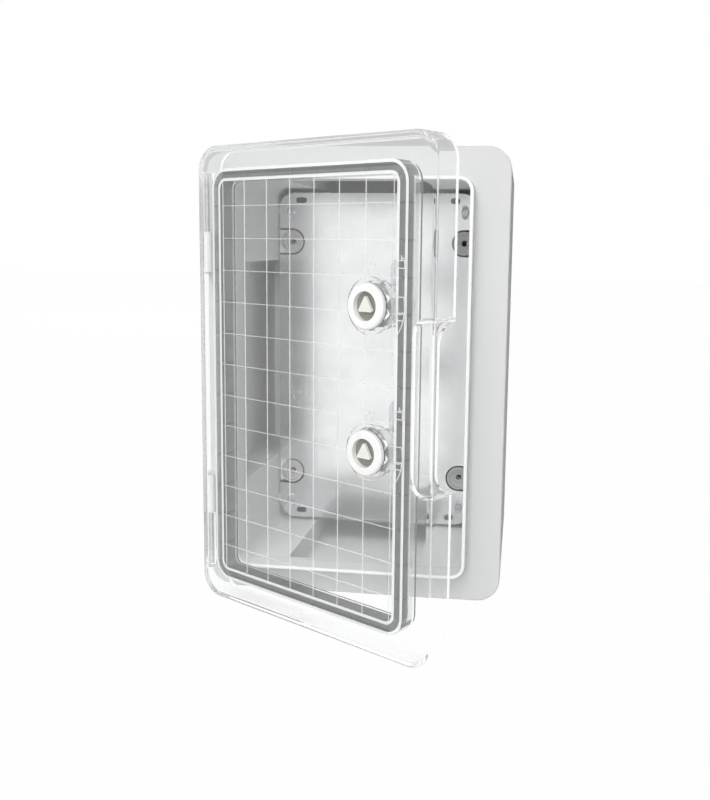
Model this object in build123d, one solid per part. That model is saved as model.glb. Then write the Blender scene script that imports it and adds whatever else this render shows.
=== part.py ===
from build123d import *
import os
from math import cos, radians, sin, sqrt

# Wall-mounted plastic enclosure with a clear hinged door and two quarter-turn locks.
# Millimetres. X to the right, Y from the front towards the wall, Z up.
# The origin is at the centre of the back face, on the wall plane.

# Driving dimensions of the base
width = 200.0
height = 300.0
base_depth = 158.0
corner_radius = 15.5
draft_offset = 1.5
wall = 3.0
inner_corner_radius = 3.0

flange_softness = 1.0

# Opening and the sealing lip round it
flange_side_width = 25.0
flange_end_width = 22.05
opening_radius = 7.0
lip_wall = 2.4
lip_height = 16.0
lip_softness = 0.8

# Hollow columns that fill the four inner corners behind the front shelf
corner_column_width = 50.5
corner_column_height = 71.0

# Door
door_depth = 22.0
door_gap = 3.0
door_plate = 3.0
door_skirt = 3.0
door_hinge_gap = 3.8
door_edge_softness = 2.5
door_inner_softness = 1.2
door_height_margin = 2.6
door_inner_radius = 12.5

# Rest position of the door, and the hinge line measured from the flange
open_angle = 31.8
hinge_inset = 3.5
hinge_forward = 11.0
knuckle_radius = 3.5
pin_radius = 1.5
pin_running_gap = 0.06
knuckle_end_gap = 0.3
hinge_end_inset = 18.0
door_knuckle_length = 38.0
base_knuckle_length = 26.0
pin_end_cover = 2.0

# Gasket and the ribs that hold it
gasket_width = 4.2
gasket_lip_gap = 0.3
gasket_skin = 0.3
gasket_skin_height = 10.6
channel_rib = 1.8
channel_rib_height = 12.0

# Finger well on the free edge of the door
well_half_height = 47.0
well_reach = 13.5
well_wall = 2.5
well_end_radius = 8.0
well_front_band = 5.5
well_cut_radius = 13.0

# Fine moulded grid on the inside of the door, and the gate mark on its front
grid_pitch = 20.0
grid_line_width = 0.5
grid_line_height = 0.25
gate_radius = 6.0
gate_depth = 0.3
gate_nub_radius = 1.0

# Quarter-turn locks
lock_inset = 44.0
lock_heights = {"upper": 54.0, "lower": -28.0}
collar_radius = 16.0
collar_height = 1.5
sleeve_radius = 14.0
sleeve_length = 8.0
bush_radius = 10.5
bush_gap = 0.1
bush_flat_width = 19.2
bush_flange_radius = 13.0
bush_flange = 3.0
bush_tail = 3.0
seal_thickness = 0.8
nut_flats = 24.0
nut_thickness = 4.0
recess_radius = 8.2
recess_depth = 3.0
rotor_disc_gap = 0.1
rotor_disc = 2.0
rotor_radius = 6.0
rotor_running_gap = 0.05
key_height = 9.4
key_corner_radius = 0.8
key_below_flange = 0.4
o_ring_section = 1.0
circlip_radius = 8.2
circlip_thickness = 1.0
circlip_depth = 1.0
square_shank = 7.0
cam_thickness = 3.0
cam_shelf_gap = 0.6
cam_hook = 7.5
cam_half_width = 6.5
cam_hub_radius = 8.0
cam_screw_head_radius = 4.2
cam_screw_head = 2.6
cam_screw_radius = 2.0
cam_screw_length = 9.0

# Mounting plate, its carrying bosses and its screws
plate_side_gap = 1.0
plate_end_gap = 3.2
plate_thickness = 1.5
plate_radius = 12.0
plate_front_depth = 90.0
plate_boss_inset_x = 10.0
plate_boss_inset_z = 17.0
plate_boss_radius = 5.0
plate_slot_width = 4.6
plate_slot_length = 10.0
end_slot_inset_x = 17.0
end_slot_inset_z = 5.5
end_slot_width = 4.2
end_slot_length = 8.0
plate_screw_radius = 1.5
plate_screw_length = 11.0
plate_screw_head_radius = 2.9
plate_screw_head = 2.0
pilot_gap = 0.05
pilot_extra = 2.0
cross_recess_width = 0.8
cross_recess_reach = 1.7
cross_recess_depth = 1.1

# Columns for the wall screws
wall_hole_inset_x = 10.5
wall_hole_inset_z = 39.45
wall_column_radius = 8.7
wall_column_notch_gap = 1.2
wall_hole_radius = 2.25
wall_screw_seat_radius = 4.5
wall_screw_seat_depth = 3.5
wall_column_ring_radius = 7.4
wall_column_ring_depth = 2.0
column_web_drop = 4.0

# Places that follow from the sizes above
y_flange = -base_depth
y_inner_back = -wall
y_shelf_back = y_flange + wall
y_lip = y_flange - lip_height
y_door_front = y_flange - door_depth
y_door_inside = y_door_front + door_plate
y_door_back = y_flange - door_gap
y_hinge = y_flange - hinge_forward
y_plate_front = y_flange + plate_front_depth
y_plate_back = y_plate_front + plate_thickness
opening_width = width - 2 * flange_side_width
opening_height = height - 2 * flange_end_width
opening_x = opening_width / 2
opening_z = opening_height / 2
pocket_x = width / 2 - draft_offset - wall
pocket_z = height / 2 - draft_offset - wall
side_pocket_half_height = pocket_z - corner_column_height
end_pocket_half_width = pocket_x - corner_column_width
hinge_x = hinge_inset - width / 2
door_knuckle_high = height / 2 - hinge_end_inset
base_knuckle_high = door_knuckle_high - door_knuckle_length
base_knuckle_low = base_knuckle_high - base_knuckle_length
gasket_depth = door_depth - door_plate - lip_height - gasket_lip_gap
lock_x = width / 2 - lock_inset
cam_reach = opening_x + cam_hook - lock_x
plate_width = opening_width - 2 * plate_side_gap
plate_height = opening_height - 2 * plate_end_gap
plate_boss_x = opening_x - plate_boss_inset_x
plate_boss_z = opening_z - plate_boss_inset_z
end_slot_x = plate_width / 2 - end_slot_inset_x
end_slot_z = plate_height / 2 - end_slot_inset_z
wall_hole_x = opening_x - wall_hole_inset_x
wall_hole_z = opening_z - wall_hole_inset_z
door_left = hinge_x + door_hinge_gap
door_right = width / 2
door_centre = (door_left + door_right) / 2
door_width = door_right - door_left
door_height = height - 2 * door_height_margin
overlap = 0.5


def front_plane(y):
    """A plane seen from the front: x to the right, z up."""
    return Plane(origin=(0, y, 0), x_dir=(1, 0, 0), z_dir=(0, -1, 0))


def prism(sketch, y_front, y_back):
    """A front-view sketch made solid between two depths."""
    return extrude(front_plane(y_back) * sketch, amount=y_back - y_front)


def rod(x, z, radius, y_front, y_back):
    return prism(Pos(x, z) * Circle(radius), y_front, y_back)


def block(x0, x1, z0, z1, y_front, y_back):
    face = Pos((x0 + x1) / 2, (z0 + z1) / 2) * Rectangle(x1 - x0, z1 - z0)
    return prism(face, y_front, y_back)


def slot_face(x, z, length, slot_width, upright=False):
    turn = 90 if upright else 0
    return Pos(x, z) * Rot(0, 0, turn) * SlotOverall(length, slot_width)


def cross_recess(x, z, y_front):
    """The cross in a screw head that faces the front."""
    upright = block(x - cross_recess_width / 2, x + cross_recess_width / 2,
                    z - cross_recess_reach, z + cross_recess_reach,
                    y_front - overlap, y_front + cross_recess_depth)
    level = block(x - cross_recess_reach, x + cross_recess_reach,
                  z - cross_recess_width / 2, z + cross_recess_width / 2,
                  y_front - overlap, y_front + cross_recess_depth)
    return upright + level


corners = [(side, end) for side in (-1, 1) for end in (-1, 1)]
hinge_axis = Axis((hinge_x, y_hinge, 0), (0, 0, 1))


def opened(shape):
    """Swing a piece of the closed door to its rest position."""
    return shape.rotate(hinge_axis, -open_angle)


def inner_outline():
    """The inside of the outer walls, seen from the front."""
    return RectangleRounded(2 * pocket_x, 2 * pocket_z, corner_radius - draft_offset - wall)


# Base moulding: outer box, cavity, lip
def make_base():
    front_face = front_plane(y_flange) * RectangleRounded(width, height, corner_radius)
    back_face = front_plane(0) * RectangleRounded(
        width - 2 * draft_offset, height - 2 * draft_offset, corner_radius - draft_offset)
    base = loft([front_face.face(), back_face.face()], ruled=True)
    base = fillet(base.faces().sort_by(Axis.Y)[0].outer_wire().edges(), flange_softness)

    lip_outer = RectangleRounded(
        opening_width + 2 * lip_wall, opening_height + 2 * lip_wall, opening_radius + lip_wall)
    lip_inner = RectangleRounded(opening_width, opening_height, opening_radius)
    lip = prism(lip_outer - lip_inner, y_lip, y_flange + overlap)
    base += fillet(lip.faces().sort_by(Axis.Y)[0].edges(), lip_softness)
    base -= prism(lip_inner, y_flange - overlap, y_inner_back)

    base -= prism(RectangleRounded(2 * pocket_x, 2 * side_pocket_half_height, inner_corner_radius),
                  y_shelf_back, y_inner_back)
    base -= prism(RectangleRounded(2 * end_pocket_half_width, 2 * pocket_z, inner_corner_radius),
                  y_shelf_back, y_inner_back)

    # Corner columns are hollow and open towards the wall
    for side, end in corners:
        core_side = Pos(side * (opening_x + wall + pocket_x) / 2,
                        end * (side_pocket_half_height + wall + pocket_z) / 2) * RectangleRounded(
            pocket_x - opening_x - wall, pocket_z - side_pocket_half_height - wall,
            inner_corner_radius)
        core_end = Pos(side * (end_pocket_half_width + wall + pocket_x) / 2,
                       end * (opening_z + wall + pocket_z) / 2) * RectangleRounded(
            pocket_x - end_pocket_half_width - wall, pocket_z - opening_z - wall,
            inner_corner_radius)
        core = (core_side + core_end) & inner_outline()
        base -= prism(core, y_shelf_back, overlap)

    # Columns for the wall screws, joined to the side wall by a lower web
    for side, end in corners:
        x, z = side * wall_hole_x, end * wall_hole_z
        web_in, web_out = sorted((x, side * (opening_x + overlap)))
        base += rod(x, z, wall_column_radius, y_plate_front, y_inner_back + overlap)
        base += block(web_in, web_out, z - wall_column_radius, z + wall_column_radius,
                      y_plate_back + column_web_drop, y_inner_back + overlap)
    for side, end in corners:
        x, z = side * wall_hole_x, end * wall_hole_z
        base -= rod(x, z, wall_column_ring_radius,
                    y_plate_front - overlap, y_plate_front + wall_column_ring_depth)
        base -= rod(x, z, wall_screw_seat_radius,
                    y_plate_front, y_plate_front + wall_screw_seat_depth)
        base -= rod(x, z, wall_hole_radius, y_plate_front, overlap)

    # Bosses that carry the mounting plate
    for side, end in corners:
        x, z = side * plate_boss_x, end * plate_boss_z
        web_in, web_out = sorted((x, side * (opening_x + overlap)))
        base += rod(x, z, plate_boss_radius, y_plate_back, y_inner_back + overlap)
        base += block(web_in, web_out, z - plate_boss_radius / 2, z + plate_boss_radius / 2,
                      y_plate_back, y_inner_back + overlap)
        base -= rod(x, z, plate_screw_radius + pilot_gap, y_plate_back - overlap,
                    y_plate_front + plate_screw_length + pilot_extra)

    # Hinge knuckles stand on the front flange
    knuckle_face = Circle(knuckle_radius) + Pos(0, hinge_forward / 2) * Rectangle(
        2 * knuckle_radius, hinge_forward + overlap)
    for end in (-1, 1):
        low, high = sorted((end * base_knuckle_low, end * base_knuckle_high))
        knuckle = extrude(Pos(hinge_x, y_hinge, low) * knuckle_face, amount=high - low)
        bore = Pos(hinge_x, y_hinge, low) * Cylinder(
            pin_radius, high - low, align=(Align.CENTER, Align.CENTER, Align.MIN))
        base = base + knuckle - bore
    return base


def split_base():
    """The moulding as its box, its front flange and its four corner columns, face to face."""
    whole = make_base()
    inside = prism(inner_outline(), y_shelf_back, y_inner_back)
    front = block(-width, width, -height, height, y_door_front, y_shelf_back)
    split = {"enclosure_base": whole - inside - front, "front_flange": whole & front}
    for column in (whole & inside).solids():
        middle = column.center()
        name = ("upper" if middle.Z > 0 else "lower") + ("_right" if middle.X > 0 else "_left")
        split[name + "_column"] = column
    return split


# Clear door, drawn closed
def make_door():
    shell = prism(Pos(door_centre, 0) * RectangleRounded(door_width, door_height, corner_radius),
                  y_door_front, y_door_back)
    front_edges = shell.faces().sort_by(Axis.Y)[0].outer_wire().edges()
    door = fillet(front_edges, door_edge_softness)
    hollow = prism(Pos(door_centre, 0) * RectangleRounded(
        door_width - 2 * door_skirt, door_height - 2 * door_skirt, door_inner_radius),
        y_door_inside, y_door_back + overlap)
    door -= fillet(hollow.faces().sort_by(Axis.Y)[0].edges(), door_inner_softness)

    # Ribs each side of the gasket
    ribs = prism(lip_line(gasket_width / 2 + channel_rib), y_door_inside - overlap,
                 y_door_inside + channel_rib_height)
    ribs -= prism(lip_line(gasket_width / 2), y_door_inside - 2 * overlap,
                  y_door_inside + channel_rib_height + overlap)
    ribs += prism(lip_line(-gasket_width / 2), y_door_inside - overlap,
                  y_door_inside + channel_rib_height)
    ribs -= prism(lip_line(-gasket_width / 2 - channel_rib), y_door_inside - 2 * overlap,
                  y_door_inside + channel_rib_height + overlap)
    door += ribs

    # Finger well: an inner wall, an open space and a cut-back skirt
    well_x = door_right - well_reach
    run_out = 2 * door_skirt
    outer_width = well_reach + well_wall + run_out
    well_outer = Pos(well_x - well_wall + outer_width / 2, 0) * RectangleRounded(
        outer_width, 2 * (well_half_height + well_wall), well_end_radius + well_wall)
    keep = block(well_x - well_wall - overlap, door_right - door_skirt / 2,
                 -door_height / 2, door_height / 2, y_door_inside - overlap, y_door_back)
    door += prism(well_outer, y_door_inside - overlap, y_door_back) & keep
    well_inner = Pos(well_x + outer_width / 2, 0) * RectangleRounded(
        outer_width, 2 * well_half_height, well_end_radius)
    inner_limit = block(well_x - overlap, door_right - door_skirt,
                        -door_height / 2, door_height / 2, y_door_inside, y_door_back + overlap)
    door -= prism(well_inner, y_door_inside, y_door_back + overlap) & inner_limit
    cut_depth = door_depth - door_gap - well_front_band
    side_plane = Plane(origin=(door_right + overlap, y_door_back, 0),
                       x_dir=(0, 0, 1), z_dir=(-1, 0, 0))
    cut_face = RectangleRounded(2 * well_half_height, 2 * cut_depth, well_cut_radius)
    door -= extrude(side_plane * cut_face, amount=door_skirt + 2 * overlap)

    # Moulded measuring grid on the inside
    half_span_z = opening_z + lip_wall / 2 - gasket_width / 2
    half_span_x = opening_x + lip_wall / 2 - gasket_width / 2
    grid_columns = 2 * int(half_span_x / grid_pitch + 0.5)
    grid_rows = 2 * int(half_span_z / grid_pitch + 0.5)
    for i in range(grid_columns):
        x = (i - (grid_columns - 1) / 2) * grid_pitch
        door += block(x - grid_line_width / 2, x + grid_line_width / 2,
                      -half_span_z, half_span_z,
                      y_door_inside - overlap, y_door_inside + grid_line_height)
    for i in range(grid_rows):
        z = (i - (grid_rows - 1) / 2) * grid_pitch
        door += block(-half_span_x, half_span_x,
                      z - grid_line_width / 2, z + grid_line_width / 2,
                      y_door_inside - overlap, y_door_inside + grid_line_height)

    # Gate mark: a shallow disc with a small nub left standing
    gate = rod(0, 0, gate_radius, y_door_front - overlap, y_door_front + gate_depth)
    gate -= rod(0, 0, gate_nub_radius, y_door_front - overlap, y_door_front + gate_depth)
    door -= gate

    # Lock seats
    for z in lock_heights.values():
        door += rod(lock_x, z, collar_radius, y_door_front - collar_height, y_door_inside)
        door += rod(lock_x, z, sleeve_radius, y_door_inside - overlap,
                    y_door_inside + sleeve_length)
        door -= prism(Pos(lock_x, z) * bush_face(bush_gap),
                      y_door_front - collar_height - overlap,
                      y_door_inside + sleeve_length + overlap)

    # Hinge knuckles on the left skirt
    web_reach = door_left + overlap - hinge_x
    knuckle_face = Circle(knuckle_radius) + Pos(web_reach / 2, 0) * Rectangle(
        web_reach, 2 * knuckle_radius)
    for end in (-1, 1):
        low, high = sorted((end * (base_knuckle_high + knuckle_end_gap), end * door_knuckle_high))
        knuckle = extrude(Pos(hinge_x, y_hinge, low) * knuckle_face, amount=high - low)
        pin_low, pin_high = sorted((end * base_knuckle_high,
                                    end * (door_knuckle_high - pin_end_cover + knuckle_end_gap)))
        bore = Pos(hinge_x, y_hinge, pin_low) * Cylinder(
            pin_radius + pin_running_gap, pin_high - pin_low,
            align=(Align.CENTER, Align.CENTER, Align.MIN))
        door = door + knuckle - bore
    return door


def lip_line(offset):
    """The middle line of the lip, moved outwards by an offset, as a filled outline."""
    grow = lip_wall + 2 * offset
    return RectangleRounded(opening_width + grow, opening_height + grow,
                            opening_radius + grow / 2)


def make_gasket():
    """Foam poured into the channel: thick on its floor, a thin skin up its two sides."""
    side = gasket_width / 2
    filled = lip_line(side) - lip_line(-side)
    free = lip_line(side - gasket_skin) - lip_line(gasket_skin - side)
    foam = prism(filled, y_door_inside, y_door_inside + gasket_skin_height)
    return foam - prism(free, y_door_inside + gasket_depth,
                        y_door_inside + gasket_skin_height + overlap)


def make_hinge_pin(end):
    low, high = sorted((end * base_knuckle_low, end * (door_knuckle_high - pin_end_cover)))
    return Pos(hinge_x, y_hinge, low) * Cylinder(
        pin_radius, high - low, align=(Align.CENTER, Align.CENTER, Align.MIN))


# Mounting plate and its four screws
def make_plate():
    face = RectangleRounded(plate_width, plate_height, plate_radius)
    notch_radius = wall_column_radius + wall_column_notch_gap
    for side, end in corners:
        x, z = side * wall_hole_x, end * wall_hole_z
        notch_run = plate_width / 2 + overlap - wall_hole_x
        face -= Pos(x, z) * Circle(notch_radius)
        face -= Pos(x + side * notch_run / 2, z) * Rectangle(notch_run, 2 * notch_radius)
        face -= slot_face(side * plate_boss_x, end * plate_boss_z,
                          plate_slot_length, plate_slot_width, upright=True)
        face -= slot_face(side * end_slot_x, end * end_slot_z, end_slot_length, end_slot_width)
    return prism(face, y_plate_front, y_plate_back)


def make_plate_screws():
    screws = []
    for side, end in corners:
        x, z = side * plate_boss_x, end * plate_boss_z
        y_head = y_plate_front - plate_screw_head
        screw = rod(x, z, plate_screw_head_radius, y_head, y_plate_front)
        screw = fillet(screw.faces().sort_by(Axis.Y)[0].edges(), plate_screw_head / 3)
        screw += rod(x, z, plate_screw_radius, y_plate_front, y_plate_front + plate_screw_length)
        screws.append(screw - cross_recess(x, z, y_head))
    return Compound(children=screws)


# Quarter-turn lock, drawn on the closed door
y_collar = y_door_front - collar_height
y_bush_seat = y_collar - seal_thickness
y_bush_front = y_bush_seat - bush_flange
y_sleeve_end = y_door_inside + sleeve_length
y_bush_tail = y_sleeve_end + nut_thickness + bush_tail
y_recess = y_bush_front + recess_depth
y_cam_front = y_shelf_back + cam_shelf_gap
y_cam_back = y_cam_front + cam_thickness


def bush_face(gap):
    """The threaded barrel: round, with two upright flats that stop it turning."""
    return Circle(bush_radius + gap) & Rectangle(bush_flat_width + 2 * gap, 4 * bush_radius)


def make_bush(z):
    flange = rod(lock_x, z, bush_flange_radius, y_bush_front, y_bush_seat)
    bush = chamfer(flange.faces().sort_by(Axis.Y)[0].edges(), bush_flange / 4)
    bush += prism(Pos(lock_x, z) * bush_face(0), y_bush_seat - overlap, y_bush_tail)
    bush -= rod(lock_x, z, recess_radius, y_bush_front - overlap, y_recess + rotor_disc)
    bush -= rod(lock_x, z, rotor_radius + rotor_running_gap, y_bush_front, y_bush_tail + overlap)
    return bush


def make_seal(z):
    ring = Circle(bush_flange_radius - rotor_disc_gap) - bush_face(bush_gap)
    return prism(Pos(lock_x, z) * ring, y_bush_seat, y_collar)


def make_nut(z):
    hexagon = RegularPolygon(nut_flats / 2, 6, major_radius=False)
    return prism(Pos(lock_x, z) * (hexagon - Circle(bush_radius + bush_gap)),
                 y_sleeve_end, y_sleeve_end + nut_thickness)


def make_key():
    """The raised triangle that the key fits over, point up."""
    side_length = 2 * key_height / sqrt(3)
    half = side_length / 2
    triangle = Polygon((-half, -key_height / 3), (half, -key_height / 3),
                       (0, 2 * key_height / 3), align=None)
    return fillet(triangle.vertices(), key_corner_radius)


def make_rotor(z):
    y_key = y_bush_front + key_below_flange
    y_groove = y_recess + rotor_disc + 2 * o_ring_section
    rotor = rod(lock_x, z, recess_radius - rotor_disc_gap, y_recess, y_recess + rotor_disc)
    rotor += prism(Pos(lock_x, z) * make_key(), y_key, y_recess + rotor_disc)
    rotor += rod(lock_x, z, rotor_radius, y_recess, y_cam_front)
    shank = Rectangle(square_shank, square_shank) & Circle(square_shank * 0.62)
    rotor += prism(Pos(lock_x, z) * shank, y_cam_front - overlap, y_cam_back)
    y_clip = y_bush_tail + rotor_running_gap
    for y_cut, cut_width, depth in ((y_groove, o_ring_section, o_ring_section),
                                    (y_clip, circlip_thickness, circlip_depth)):
        band = rod(lock_x, z, rotor_radius + overlap, y_cut, y_cut + cut_width)
        rotor -= band - rod(lock_x, z, rotor_radius - depth, y_cut, y_cut + cut_width)
    rotor -= rod(lock_x, z, cam_screw_radius, y_cam_back - cam_screw_length, y_cam_back + overlap)
    return rotor


def make_o_ring(z):
    y_groove = y_recess + rotor_disc + 2 * o_ring_section
    half = o_ring_section / 2
    centre = rotor_radius - o_ring_section + half
    ring = Torus(centre, half * 0.98)
    return Pos(lock_x, y_groove + half, z) * Rot(90, 0, 0) * ring


def make_circlip(z):
    y_clip = y_bush_tail + rotor_running_gap
    ring = Circle(circlip_radius) - Circle(rotor_radius - circlip_depth)
    mouth = Pos(circlip_radius, 0) * Rectangle(2 * circlip_radius, rotor_radius)
    return prism(Pos(lock_x, z) * (ring - mouth), y_clip, y_clip + circlip_thickness)


def make_cam(z):
    """A flat tongue that points up when the lock is open."""
    tip = cam_reach - cam_half_width
    face = Circle(cam_hub_radius) + Pos(0, tip) * Circle(cam_half_width)
    face += Pos(0, tip / 2) * Rectangle(2 * cam_half_width, tip)
    hole_gap = bush_gap
    face -= Rectangle(square_shank + hole_gap, square_shank + hole_gap)
    return prism(Pos(lock_x, z) * face, y_cam_front, y_cam_back)


def make_cam_screw(z):
    y_end = y_cam_back + cam_screw_head
    screw = rod(lock_x, z, cam_screw_head_radius + square_shank / 5, y_cam_back,
                y_cam_back + cam_screw_head / 3)
    screw += rod(lock_x, z, cam_screw_head_radius, y_cam_back, y_end)
    screw += rod(lock_x, z, cam_screw_radius, y_cam_back - cam_screw_length + overlap, y_cam_back)
    slot = block(lock_x - cross_recess_width / 2, lock_x + cross_recess_width / 2,
                 z - cam_screw_head_radius, z + cam_screw_head_radius,
                 y_end - cross_recess_depth, y_end + overlap)
    return screw - slot


pieces = {
    **split_base(),
    "mounting_plate": make_plate(),
    "plate_screws": make_plate_screws(),
    "upper_hinge_pin": make_hinge_pin(1),
    "lower_hinge_pin": make_hinge_pin(-1),
    "clear_door": opened(make_door()),
    "door_gasket": opened(make_gasket()),
}
lock_makers = {
    "lock_bush": make_bush,
    "lock_flange_seal": make_seal,
    "lock_nut": make_nut,
    "lock_rotor": make_rotor,
    "lock_o_ring": make_o_ring,
    "lock_circlip": make_circlip,
    "lock_cam": make_cam,
    "lock_cam_screw": make_cam_screw,
}
for place, z_lock in lock_heights.items():
    for name, maker in lock_makers.items():
        pieces[place + "_" + name] = opened(maker(z_lock))

os.makedirs("parts", exist_ok=True)
for name, shape in pieces.items():
    export_step(shape, "parts/" + name + ".step")

rest = radians(open_angle)
print("lock axis towards the front:", round(-sin(rest), 6), round(-cos(rest), 6))
for place, z_lock in lock_heights.items():
    spot = opened(Pos(lock_x, y_bush_front, z_lock) * Sphere(1)).center()
    print(place, "lock face centre:", round(spot.X, 4), round(spot.Y, 4), round(spot.Z, 4))
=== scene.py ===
from math import cos, radians, sin

import bmesh
import bpy
from mathutils import Matrix, Vector


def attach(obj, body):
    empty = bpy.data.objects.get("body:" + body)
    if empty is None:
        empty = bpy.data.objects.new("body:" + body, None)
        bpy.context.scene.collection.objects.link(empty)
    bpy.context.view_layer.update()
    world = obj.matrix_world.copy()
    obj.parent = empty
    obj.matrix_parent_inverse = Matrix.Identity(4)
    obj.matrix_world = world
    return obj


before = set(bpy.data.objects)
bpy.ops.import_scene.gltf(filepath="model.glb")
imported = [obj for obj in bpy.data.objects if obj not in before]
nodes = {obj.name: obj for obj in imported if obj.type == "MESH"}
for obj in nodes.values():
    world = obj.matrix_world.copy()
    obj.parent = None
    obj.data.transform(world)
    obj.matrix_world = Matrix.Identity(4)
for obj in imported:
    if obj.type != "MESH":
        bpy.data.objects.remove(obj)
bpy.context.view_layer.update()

scene = bpy.context.scene
scene.view_settings.view_transform = "Standard"
scene.cycles.max_bounces = 32
scene.cycles.transmission_bounces = 32
scene.cycles.glossy_bounces = 16


# Base moulding
# One light grey ABS moulding with a fine spark-eroded skin, satin, a little uneven in gloss.
# The flange's face and the ends of the wall-screw columns are darker grey; this darker grey
# is painted shade.
class Value:
    """A number that varies over a surface; arithmetic on it adds Math nodes."""

    def __init__(self, tree, socket):
        self.tree = tree
        self.socket = socket

    def join(self, operation, other, swapped=False, clamp=False):
        node = self.tree.nodes.new("ShaderNodeMath")
        node.operation = operation
        node.use_clamp = clamp
        for place, item in zip((1, 0) if swapped else (0, 1), (self, other)):
            if isinstance(item, Value):
                self.tree.links.new(item.socket, node.inputs[place])
            else:
                node.inputs[place].default_value = item
        return Value(self.tree, node.outputs[0])

    def __add__(self, other):
        return self.join("ADD", other)

    __radd__ = __add__

    def __sub__(self, other):
        return self.join("SUBTRACT", other)

    def __rsub__(self, other):
        return self.join("SUBTRACT", other, swapped=True)

    def __mul__(self, other):
        return self.join("MULTIPLY", other)

    __rmul__ = __mul__

    def __gt__(self, other):
        return self.join("GREATER_THAN", other)

    def __lt__(self, other):
        return self.join("LESS_THAN", other)

    def __pow__(self, other):
        return self.join("POWER", other)

    def size(self):
        return self.join("ABSOLUTE", 0.0)

    def clamp(self):
        return self.join("ADD", 0.0, clamp=True)


class Finish:
    """A material with a Principled shader, and short ways to add nodes to it."""

    def __init__(self, name, base=(0.8, 0.8, 0.8), **sockets):
        self.material = bpy.data.materials.new(name)
        self.material.use_nodes = True
        self.tree = self.material.node_tree
        self.shader = self.tree.nodes["Principled BSDF"]
        self.put("Base Color", (*base, 1.0))
        for socket, value in sockets.items():
            self.put(socket.replace("_", " "), value)
        coordinates = self.tree.nodes.new("ShaderNodeTexCoord")
        self.place = Value(self.tree, coordinates.outputs["Object"])

    def put(self, socket, value):
        if isinstance(value, Value):
            self.tree.links.new(value.socket, self.shader.inputs[socket])
        else:
            self.shader.inputs[socket].default_value = value

    def node(self, kind, output=0, settings=None, **sockets):
        node = self.tree.nodes.new("ShaderNode" + kind)
        for key, value in (settings or {}).items():
            setattr(node, key, value)
        for key, value in sockets.items():
            socket = node.inputs[int(key[1:]) if key[1:].isdigit() else key.replace("_", " ")]
            if isinstance(value, Value):
                self.tree.links.new(value.socket, socket)
            else:
                socket.default_value = value
        return Value(self.tree, node.outputs[output])

    def across(self, direction):
        """How far a point lies along a direction, in metres from the origin."""
        dot = self.tree.nodes.new("ShaderNodeVectorMath")
        dot.operation = "DOT_PRODUCT"
        self.tree.links.new(self.place.socket, dot.inputs[0])
        dot.inputs[1].default_value = direction
        return Value(self.tree, dot.outputs["Value"])

    def noise(self, scale, detail=3.0, roughness=0.5, at=None):
        return self.node("TexNoise", 0, Vector=at or self.place, Scale=scale, Detail=detail,
                         Roughness=roughness)

    def mix(self, amount, first, second):
        return self.node("Mix", 2, {"data_type": "RGBA"}, Factor=amount,
                         i6=colour(first), i7=colour(second))

    def bump(self, height, strength, distance):
        self.put("Normal", self.node("Bump", 0, Strength=strength, Distance=distance,
                                     Height=height))


def colour(value):
    return value if isinstance(value, Value) else (*value, 1.0)


def dress(finish, *names):
    for name in names:
        mesh = nodes[name].data
        mesh.materials.clear()
        mesh.materials.append(finish.material)


base_grey = (0.9, 0.905, 0.905)
base_grey_deep = (0.87, 0.875, 0.88)
# Painted shade: a darker grey for the flange's front face.
flange_painted_shade = (0.665, 0.67, 0.67)
flange_level = -0.158
flange_reach = 0.0004
# Painted shade: a dark grey for the ends of the wall-screw columns.
column_end_painted_shade = (0.5, 0.5, 0.5)
wall_hole_side = 0.0645
wall_hole_rise = 0.0885
wall_column_radius = 0.00872
plate_front = -0.0682
column_end_depth = -0.0625
base_finish = Finish("base_abs", base_grey, Specular_IOR_Level=0.1)
flow = base_finish.noise(9.0, 2.0)
skin = base_finish.noise(1900.0, 2.0)
side, depth, rise = (base_finish.across(way) for way in ((1, 0, 0), (0, 1, 0), (0, 0, 1)))
from_column = ((side.size() - wall_hole_side) ** 2.0 + (rise.size() - wall_hole_rise) ** 2.0) ** 0.5
# Masks for the painted shade on the column ends and on the flange's front face.
column_end_shade_mask = (from_column < wall_column_radius) * (depth > plate_front) * (depth < column_end_depth)
flange_shade_mask = (depth > flange_level - flange_reach) * (depth < flange_level + flange_reach)
moulded = base_finish.mix(flow, base_grey, base_grey_deep)
moulded = base_finish.mix(flange_shade_mask, moulded, flange_painted_shade)
base_finish.put("Base Color", base_finish.mix(column_end_shade_mask, moulded, column_end_painted_shade))
base_finish.put("Roughness", 0.52 + 0.1 * flow + 0.06 * skin)
base_finish.bump(skin, 0.12, 0.0002)
dress(base_finish, "enclosure_base", "front_flange")
for level in ("upper", "lower"):
    dress(base_finish, level + "_left_column", level + "_right_column")

# Clear door
# Injection moulded polycarbonate, polished inside and out, with a trace of grey. Light passes
# through it, so its shadow is faint. A low even glow stands for the veil of studio light that
# its faces throw back in the photo.
door_tint = (0.95, 0.954, 0.954)
veil = 0.022
shadow_tint = (0.98, 0.985, 0.985)
door_finish = Finish("clear_polycarbonate", door_tint, Transmission_Weight=1.0, IOR=1.32,
                     Roughness=0.01, Emission_Color=(1.0, 1.0, 1.0, 1.0), Emission_Strength=veil)
ripple = door_finish.noise(28.0, 1.0)
door_finish.bump(ripple, 0.003, 0.001)
door_tree = door_finish.tree
light_path = door_tree.nodes.new("ShaderNodeLightPath")
shadow_glass = door_tree.nodes.new("ShaderNodeBsdfTransparent")
shadow_glass.inputs["Color"].default_value = colour(shadow_tint)
door_mix = door_tree.nodes.new("ShaderNodeMixShader")
door_output = door_tree.nodes["Material Output"]
door_tree.links.new(light_path.outputs["Is Shadow Ray"], door_mix.inputs[0])
door_tree.links.new(door_finish.shader.outputs[0], door_mix.inputs[1])
door_tree.links.new(shadow_glass.outputs[0], door_mix.inputs[2])
door_tree.links.new(door_mix.outputs[0], door_output.inputs["Surface"])
dress(door_finish, "clear_door")

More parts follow.
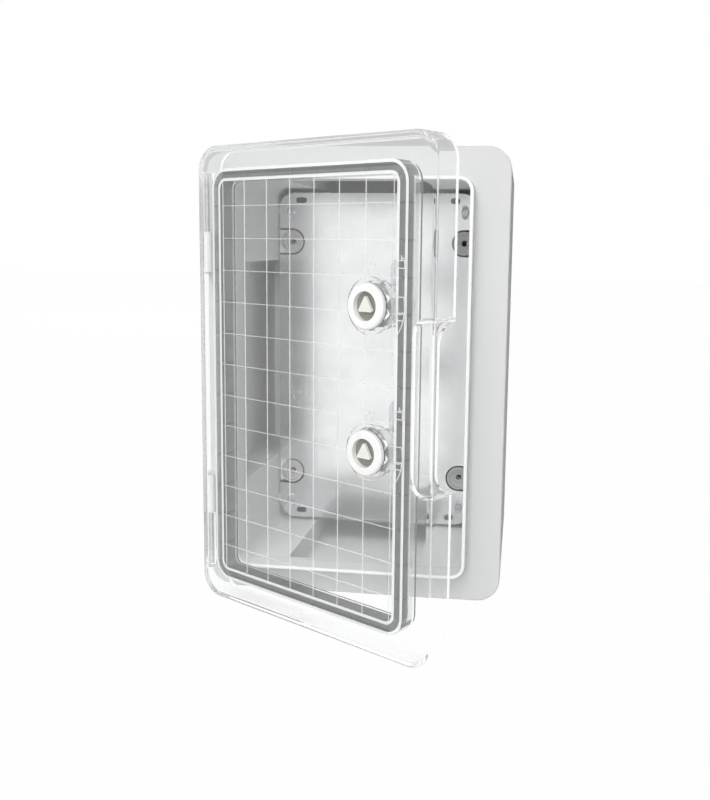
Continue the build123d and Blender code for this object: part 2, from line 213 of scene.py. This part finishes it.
# Measuring grid on the door
# Fine ribs on the inside of the plate, 20 mm apart, whose crests the tool left frosted.
# Eight run down and twelve across; each is one long bar, and the door carries them.
hinge_line = Vector((-0.0965, -0.169, 0.0))
open_angle = radians(31.8)
closed_to_rest = (Matrix.Translation(hinge_line) @ Matrix.Rotation(-open_angle, 4, "Z")
                  @ Matrix.Translation(-hinge_line))
door_front = -0.18
door_inside = -0.177
grid_pitch = 0.02
grid_columns = 8
grid_rows = 12
grid_half_width = 0.07655
grid_half_height = 0.1295
bar_width = 0.00054
bar_depth = 0.0003


def bar(length, upright):
    """One bar with its crest bevelled, centred on the inside of the closed door."""
    bpy.ops.object.select_all(action="DESELECT")
    bpy.ops.mesh.primitive_cube_add(size=1.0, location=(0.0, door_inside + bar_depth / 2, 0.0))
    item = bpy.context.object
    bpy.ops.object.mode_set(mode="EDIT")
    across, along = (bar_width, length) if upright else (length, bar_width)
    bpy.ops.transform.resize(value=(across, bar_depth, along), center_override=item.location)
    bpy.ops.mesh.bevel(offset=bar_depth / 5, segments=1, affect="EDGES")
    bpy.ops.object.mode_set(mode="OBJECT")
    return item


def repeated(item, count, step):
    """Copies of item in a row, centred on where it stood."""
    row = item.modifiers.new("row", "ARRAY")
    row.count = count
    row.use_relative_offset = False
    row.use_constant_offset = True
    row.constant_offset_displace = step
    bpy.ops.object.modifier_apply(modifier=row.name)
    item.location -= Vector(step) * (count - 1) / 2


def joined(name, items):
    """The items as one object whose place is baked into its mesh."""
    bpy.ops.object.select_all(action="DESELECT")
    for item in items:
        item.select_set(True)
    bpy.context.view_layer.objects.active = items[0]
    if len(items) > 1:
        bpy.ops.object.join()
    bpy.ops.object.transform_apply(location=True, rotation=True, scale=True)
    result = bpy.context.object
    result.name = name
    result.data.name = name
    return result


def hang_on_door(item, finish):
    """Turns a piece made on the closed door to its place at rest and ties it to the door."""
    item.data.transform(closed_to_rest)
    item.data.materials.clear()
    item.data.materials.append(finish.material)
    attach(item, "door")


uprights = bar(2 * grid_half_height, True)
repeated(uprights, grid_columns, (grid_pitch, 0.0, 0.0))
crossbars = bar(2 * grid_half_width, False)
repeated(crossbars, grid_rows, (0.0, 0.0, grid_pitch))
grid_white = (0.93, 0.94, 0.94)
grid_shade = (0.84, 0.85, 0.85)
frost_finish = Finish("frosted_ribs", grid_white, Alpha=0.26)
frost = frost_finish.noise(1500.0, 2.0)
frost_finish.put("Base Color", frost_finish.mix(frost, grid_white, grid_shade))
frost_finish.put("Roughness", 0.5 + 0.2 * frost)
frost_finish.bump(frost, 0.1, 0.0002)
hang_on_door(joined("door_grid", [uprights, crossbars]), frost_finish)

# Signs beside the locks
# Plain outlines moulded a fifth of a millimetre proud of the door: a turning arc that ends at
# a line, a closed padlock at its end and open padlocks where the key starts.
lock_side = 0.056
lock_rises = {"upper": 0.054, "lower": -0.028}
sign_stroke = 0.0005
sign_thickness = 0.0004
arc_radius = 0.0242
arc_start = radians(14.0)
arc_sweep = radians(52.0)
arc_steps = 16
line_rise = 0.0058
line_reach = (0.0152, 0.0236)
body_width = 0.0052
body_height = 0.0046
body_corner = 0.0008
shackle_radius = 0.0017
shackle_rise = 0.0006
closed_spot = (0.0212, -0.0026)
open_spots = ((0.0215, 0.0255), (0.0, 0.0215))


def new_sheet(x, z, width, height):
    """A flat sheet on the front of the closed door, in edit mode."""
    bpy.ops.object.select_all(action="DESELECT")
    bpy.ops.mesh.primitive_plane_add(size=1.0, location=(x, door_front, z),
                                     rotation=(radians(90.0), 0.0, 0.0))
    item = bpy.context.object
    item.scale = (width, height, 1.0)
    bpy.ops.object.transform_apply(location=True, rotation=True, scale=True)
    bpy.ops.object.mode_set(mode="EDIT")
    return item


def raised(item):
    """Leaves edit mode and gives the sheet its thickness, half of it proud of the door."""
    bpy.ops.object.mode_set(mode="OBJECT")
    wall = item.modifiers.new("wall", "SOLIDIFY")
    wall.thickness = sign_thickness
    wall.offset = 0.0
    bpy.ops.object.modifier_apply(modifier=wall.name)
    return item


def arc(x, z, radius, start, sweep):
    """A flat stroke along an arc, spun from one short edge."""
    item = new_sheet(x + radius, z, sign_stroke, sign_stroke)
    bpy.ops.mesh.select_mode(type="VERT")
    bpy.ops.mesh.select_all(action="DESELECT")
    edit = bmesh.from_edit_mesh(item.data)
    for vertex in edit.verts:
        vertex.select = vertex.co.z > z
    bmesh.update_edit_mesh(item.data)
    bpy.ops.mesh.delete(type="VERT")
    bpy.ops.mesh.select_all(action="SELECT")
    bpy.ops.mesh.spin(steps=arc_steps, angle=sweep, center=(x, door_front, z),
                      axis=(0.0, -1.0, 0.0))
    bpy.ops.mesh.select_all(action="SELECT")
    raised(item)
    turn = (Matrix.Translation((x, door_front, z)) @ Matrix.Rotation(-start, 4, "Y")
            @ Matrix.Translation((-x, -door_front, -z)))
    item.data.transform(turn)
    return item


def padlock(x, z, lift):
    """A rounded frame with a shackle over it, lifted on one side when it is open."""
    body = new_sheet(x, z - body_height / 2, body_width, body_height)
    bpy.ops.mesh.bevel(offset=body_corner, segments=4, affect="VERTICES")
    bpy.ops.mesh.inset(thickness=sign_stroke)
    bpy.ops.mesh.delete(type="FACE")
    raised(body)
    shackle = arc(x + lift, z + shackle_rise + lift, shackle_radius, 0.0, radians(180.0))
    leg = new_sheet(x + lift - shackle_radius, z + (shackle_rise + lift) / 2, sign_stroke,
                    shackle_rise + lift)
    bpy.ops.mesh.bevel(offset=sign_stroke / 5, segments=1, affect="VERTICES")
    raised(leg)
    return [body, shackle, leg]


signs = []
for lock_rise in lock_rises.values():
    signs.append(arc(lock_side, lock_rise, arc_radius, arc_start, arc_sweep))
    start, end = line_reach
    line = new_sheet(lock_side + (start + end) / 2, lock_rise + line_rise, end - start, sign_stroke)
    bpy.ops.mesh.bevel(offset=sign_stroke / 5, segments=1, affect="VERTICES")
    signs.append(raised(line))
    signs += padlock(lock_side + closed_spot[0], lock_rise + closed_spot[1], 0.0)
    for spot in open_spots:
        signs += padlock(lock_side + spot[0], lock_rise + spot[1], shackle_radius)
sign_finish = Finish("frosted_signs", grid_white, Alpha=0.8)
sign_frost = sign_finish.noise(1500.0, 2.0)
sign_finish.put("Base Color", sign_finish.mix(sign_frost, grid_white, grid_shade))
sign_finish.put("Roughness", 0.45 + 0.2 * sign_frost)
sign_finish.bump(sign_frost, 0.1, 0.0002)
hang_on_door(joined("door_signs", signs), sign_finish)

# Light caught in the gasket ribs
# Seen from the front, the roots of the two ribs beside the gasket gleam as fine pale lines.
# Each is a thin rounded frame just under the inside of the plate, as wide as its rib.
gasket_half_width = 0.0021
rib_width = 0.0018
lip_middle = (0.0762, 0.12915)
lip_middle_radius = 0.0087
root_depth = 0.00015


def root_frame(offset):
    """A rounded frame whose outer edge lies offset outside the middle of the lip."""
    half_x, half_z = (half + offset for half in lip_middle)
    item = new_sheet(0.0, 0.0, 2 * half_x, 2 * half_z)
    bpy.ops.mesh.bevel(offset=lip_middle_radius + offset, segments=10, affect="VERTICES")
    bpy.ops.mesh.inset(thickness=rib_width)
    bpy.ops.mesh.delete(type="FACE")
    bpy.ops.mesh.select_all(action="SELECT")
    bpy.ops.transform.translate(value=(0.0, door_inside - root_depth - door_front, 0.0))
    bpy.ops.object.mode_set(mode="OBJECT")
    wall = item.modifiers.new("wall", "SOLIDIFY")
    wall.thickness = root_depth
    wall.offset = 0.0
    bpy.ops.object.modifier_apply(modifier=wall.name)
    return item


gleam_white = (0.95, 0.955, 0.955)
gleam_shade = (0.86, 0.87, 0.87)
gleam_finish = Finish("rib_gleam", gleam_white, Alpha=0.6)
shimmer = gleam_finish.noise(90.0, 2.0)
gleam_finish.put("Base Color", gleam_finish.mix(shimmer, gleam_white, gleam_shade))
gleam_finish.put("Roughness", 0.35 + 0.2 * shimmer)
gleam_finish.bump(shimmer, 0.05, 0.0002)
frames = [root_frame(gasket_half_width + rib_width), root_frame(-gasket_half_width)]
hang_on_door(joined("rib_gleams", frames), gleam_finish)

# Gasket
# Polyurethane foamed straight into the door's channel: dark grey, matt, finely cellular.
# A ray can slip into it where its face meets the clear plastic, and its inside would show
# there as black, so the inside glows with a little of the foam's grey.
foam_grey = (0.205, 0.208, 0.212)
foam_light = (0.31, 0.314, 0.32)
tick_grey = (0.14, 0.14, 0.145)
tick_half_width = 0.0007
tick_strength = 0.75
skin_loss = 0.85
skin_side = 0.0775
skin_fade = 400.0
skin_rise = 0.0045
skin_start = (hinge_line.x * sin(open_angle) + hinge_line.y * cos(open_angle)
              + door_inside - hinge_line.y + skin_rise)
inside_glow = 0.25
foam_finish = Finish("foam_gasket", foam_grey, Roughness=0.85, Emission_Strength=inside_glow)
cells = foam_finish.node("TexVoronoi", 0, Vector=foam_finish.place, Scale=1600.0)
blotch = foam_finish.noise(160.0, 2.0)
along_door = foam_finish.across((cos(open_angle), -sin(open_angle), 0.0))
hinge_along = hinge_line.x * cos(open_angle) - hinge_line.y * sin(open_angle)
along_door = along_door - hinge_along + hinge_line.x
up_door = foam_finish.across((0.0, 0.0, 1.0))
from_rib = [reach.join("PINGPONG", grid_pitch / 2) for reach in (along_door, up_door)]
tick = sum(reach > grid_pitch / 2 - tick_half_width for reach in from_rib).clamp()
inward = foam_finish.across((sin(open_angle), cos(open_angle), 0.0)) - skin_start
thin_skin = (along_door > skin_side) * (inward * skin_fade).clamp()
foam_finish.put("Alpha", 1.0 - skin_loss * thin_skin)
foam = foam_finish.mix(blotch, foam_grey, foam_light)
foam = foam_finish.mix(tick_strength * tick, foam, tick_grey)
foam_finish.put("Base Color", foam)
from_inside = foam_finish.node("NewGeometry", 6)
foam_finish.put("Emission Color", foam_finish.mix(from_inside, (0.0, 0.0, 0.0), foam))
foam_finish.bump(cells, 0.5, 0.0004)
dress(foam_finish, "door_gasket")

# Mounting plate
# Galvanised sheet steel, laser cut: bright zinc with soft clouds and crystals and fine
# rolling lines.
zinc_bright = (0.97, 0.975, 0.975)
zinc_dull = (0.8, 0.82, 0.83)
cloud_gain = 1.6
cloud_level = 0.6
plate_finish = Finish("galvanised_sheet", zinc_bright, Metallic=1.0)
crystals = plate_finish.node("TexVoronoi", 1, Vector=plate_finish.place, Scale=110.0)
crystal_tone = plate_finish.node("SeparateColor", 0, None, Color=crystals)
rolled = plate_finish.node("Mapping", 0, None, Vector=plate_finish.place,
                           Scale=(1.0, 1.0, 0.02))
rolling = plate_finish.noise(900.0, 2.0, at=rolled)
cloud = plate_finish.noise(26.0, 4.0)
dulling = (0.15 * crystal_tone + cloud_gain * cloud - cloud_level + 0.1 * rolling).clamp()
plate_finish.put("Base Color", plate_finish.mix(dulling, zinc_bright, zinc_dull))
plate_finish.put("Roughness", 0.17 + 0.03 * crystal_tone + 0.06 * rolling)
plate_finish.bump(rolling + 0.5 * crystal_tone, 0.05, 0.0002)
dress(plate_finish, "mounting_plate")

# Zinc plated fasteners and lock cams
# Bright zinc over pressed steel, with a faint blue passivate and small handling marks.
plating = (0.78, 0.8, 0.83)
plating_marked = (0.55, 0.56, 0.58)
plated_finish = Finish("zinc_plating", plating, Metallic=1.0)
marks = plated_finish.noise(420.0, 4.0, 0.65)
marked = (marks * 2.4 - 0.9).clamp()
plated_finish.put("Base Color", plated_finish.mix(marked, plating, plating_marked))
plated_finish.put("Roughness", 0.22 + 0.25 * marks)
plated_finish.bump(marks, 0.08, 0.0002)
lock_places = ("upper", "lower")
dress(plated_finish, "plate_screws")
for place in lock_places:
    dress(plated_finish, place + "_lock_cam", place + "_lock_cam_screw", place + "_lock_circlip",
          place + "_hinge_pin")

# Lock bushes
# White moulded acetal with a fine satin skin, a little uneven in tone and gloss.
bush_white = (0.93, 0.93, 0.925)
bush_shade = (0.87, 0.87, 0.86)
bush_finish = Finish("bush_white", bush_white)
grain = bush_finish.noise(1400.0, 2.0)
wash = bush_finish.noise(60.0, 2.0)
bush_finish.put("Base Color", bush_finish.mix(wash, bush_white, bush_shade))
bush_finish.put("Roughness", 0.3 + 0.15 * grain)
bush_finish.bump(grain, 0.06, 0.0002)
for place in lock_places:
    dress(bush_finish, place + "_lock_bush")

# Lock rotors
# Grey moulded rotor; the top of its raised key triangle is off-white, the rest dark grey.
rotor_grey = (0.22, 0.22, 0.19)
rotor_light = (0.27, 0.27, 0.24)
key_white = (0.82, 0.82, 0.78)
door_front_way = (-sin(open_angle), -cos(open_angle), 0.0)
key_level = 0.2086
rotor_finish = Finish("rotor_grey", rotor_grey)
speck = rotor_finish.noise(900.0, 2.0)
key_top = rotor_finish.across(door_front_way) > key_level
rotor_tone = rotor_finish.mix(speck, rotor_grey, rotor_light)
rotor_finish.put("Base Color", rotor_finish.mix(key_top, rotor_tone, key_white))
rotor_finish.put("Roughness", 0.35 + 0.1 * speck)
rotor_finish.bump(speck, 0.05, 0.0002)
for place in lock_places:
    dress(rotor_finish, place + "_lock_rotor")

# Nuts and seals of the locks
# Glass-filled nylon nuts, and black rubber seals and O-rings with a dusty bloom.
nut_grey = (0.5, 0.52, 0.53)
nut_light = (0.58, 0.59, 0.6)
nut_finish = Finish("nut_nylon", nut_grey)
fibre = nut_finish.noise(700.0, 3.0)
nut_finish.put("Base Color", nut_finish.mix(fibre, nut_grey, nut_light))
nut_finish.put("Roughness", 0.45 + 0.1 * fibre)
nut_finish.bump(fibre, 0.08, 0.0002)
rubber_black = (0.03, 0.03, 0.032)
rubber_bloom = (0.06, 0.06, 0.062)
rubber_finish = Finish("seal_rubber", rubber_black)
bloom = rubber_finish.noise(500.0, 3.0)
rubber_finish.put("Base Color", rubber_finish.mix(bloom, rubber_black, rubber_bloom))
rubber_finish.put("Roughness", 0.55 + 0.2 * bloom)
rubber_finish.bump(bloom, 0.1, 0.0002)
for place in lock_places:
    dress(nut_finish, place + "_lock_nut")
    dress(rubber_finish, place + "_lock_flange_seal", place + "_lock_o_ring")

# Studio
# Camera, mirrors and clear plastic see a white floor and world, the world behind dimmer in
# mirrors. Surfaces are lit by soft lamps high in front, straight in front and behind, and by a
# low light from the front that fades to the right.
floor_level = -0.156
floor_size = 12.0
floor_white = (0.75, 0.75, 0.75)
floor_glow = 0.985
bpy.ops.object.select_all(action="DESELECT")
bpy.ops.mesh.primitive_plane_add(size=floor_size, location=(0.0, 0.0, floor_level))
floor = bpy.context.object
floor.name = "floor"
floor_material = bpy.data.materials.new("floor_white")
floor_material.use_nodes = True
floor_tree = floor_material.node_tree
floor_shader = floor_tree.nodes["Principled BSDF"]
floor_shader.inputs["Base Color"].default_value = colour(floor_white)
floor_shader.inputs["Roughness"].default_value = 0.9
glow = floor_tree.nodes.new("ShaderNodeEmission")
floor_path = floor_tree.nodes.new("ShaderNodeLightPath")
floor_mix = floor_tree.nodes.new("ShaderNodeMixShader")


def seen_directly(tree, path):
    """1 for rays from the camera, a mirror or clear plastic, 0 for the light on surfaces."""
    total = Value(tree, path.outputs["Is Camera Ray"])
    total = total + Value(tree, path.outputs["Is Glossy Ray"])
    return (total + Value(tree, path.outputs["Is Transmission Ray"])).clamp()


floor_seen = seen_directly(floor_tree, floor_path) * floor_glow
floor_tree.links.new(floor_seen.socket, floor_mix.inputs[0])
floor_tree.links.new(floor_shader.outputs[0], floor_mix.inputs[1])
floor_tree.links.new(glow.outputs[0], floor_mix.inputs[2])
floor_tree.links.new(floor_mix.outputs[0], floor_tree.nodes["Material Output"].inputs["Surface"])
floor.data.materials.append(floor_material)

world = bpy.data.worlds.new("studio")
scene.world = world
world.use_nodes = True
sky = world.node_tree.nodes["Background"]
world_path = world.node_tree.nodes.new("ShaderNodeLightPath")
back_light = 0.05
front_light = 0.4
right_loss = 0.95
front_offset = 0.1
front_gain = 1.6
dim_mirror = 0.55
dim_from = 0.5
sky_place = world.node_tree.nodes.new("ShaderNodeTexCoord")
sky_way = world.node_tree.nodes.new("ShaderNodeSeparateXYZ")
world.node_tree.links.new(sky_place.outputs["Generated"], sky_way.inputs[0])
backward = Value(world.node_tree, sky_way.outputs["Y"])
rightward = Value(world.node_tree, sky_way.outputs["X"]).clamp()
frontal = (front_offset - front_gain * backward).clamp() * (1.0 - right_loss * rightward)
even_light = frontal * front_light + back_light
world_seen = seen_directly(world.node_tree, world_path)
behind = Value(world.node_tree, world_path.outputs["Is Glossy Ray"]) * (backward > dim_from)
full_level = world_seen * (1.0 - even_light) + even_light
world_level = full_level * (1.0 - behind * (1.0 - dim_mirror))
world.node_tree.links.new(world_level.socket, sky.inputs["Strength"])
sky.inputs["Color"].default_value = (1.0, 1.0, 1.0, 1.0)


def lamp(name, place, aim, size, power):
    data = bpy.data.lights.new(name, "AREA")
    data.shape = "SQUARE"
    data.size = size
    data.energy = power
    item = bpy.data.objects.new(name, data)
    scene.collection.objects.link(item)
    item.location = place
    item.rotation_euler = (Vector(aim) - Vector(place)).to_track_quat("-Z", "Y").to_euler()
    item.visible_camera = False
    item.visible_glossy = False
    item.visible_transmission = False


lamp("key_lamp", (-0.5, -2.8, 2.7), (0.0, -0.1, 0.0), 1.6, 51.0)
lamp("side_lamp", (0.1, -2.2, 0.5), (0.0, -0.1, 0.0), 0.9, 21.0)
lamp("back_lamp", (-0.9, 2.6, 1.0), (0.0, 0.0, 0.0), 1.2, 36.0)

# Camera
# It stands a little right of and above the box, about 0.78 m in front of the wall plane.
camera_data = bpy.data.cameras.new("camera")
camera = bpy.data.objects.new("camera", camera_data)
scene.collection.objects.link(camera)
camera.location = (0.1139, -0.7772, 0.0886)
camera.rotation_euler = (radians(81.9126), radians(-0.7506), radians(8.5006))
camera_data.lens = 42.95
camera_data.sensor_width = 36.0
camera_data.sensor_fit = "AUTO"
camera_data.shift_x = -0.0411
camera_data.shift_y = -0.0272
camera_data.clip_start = 0.01
scene.camera = camera
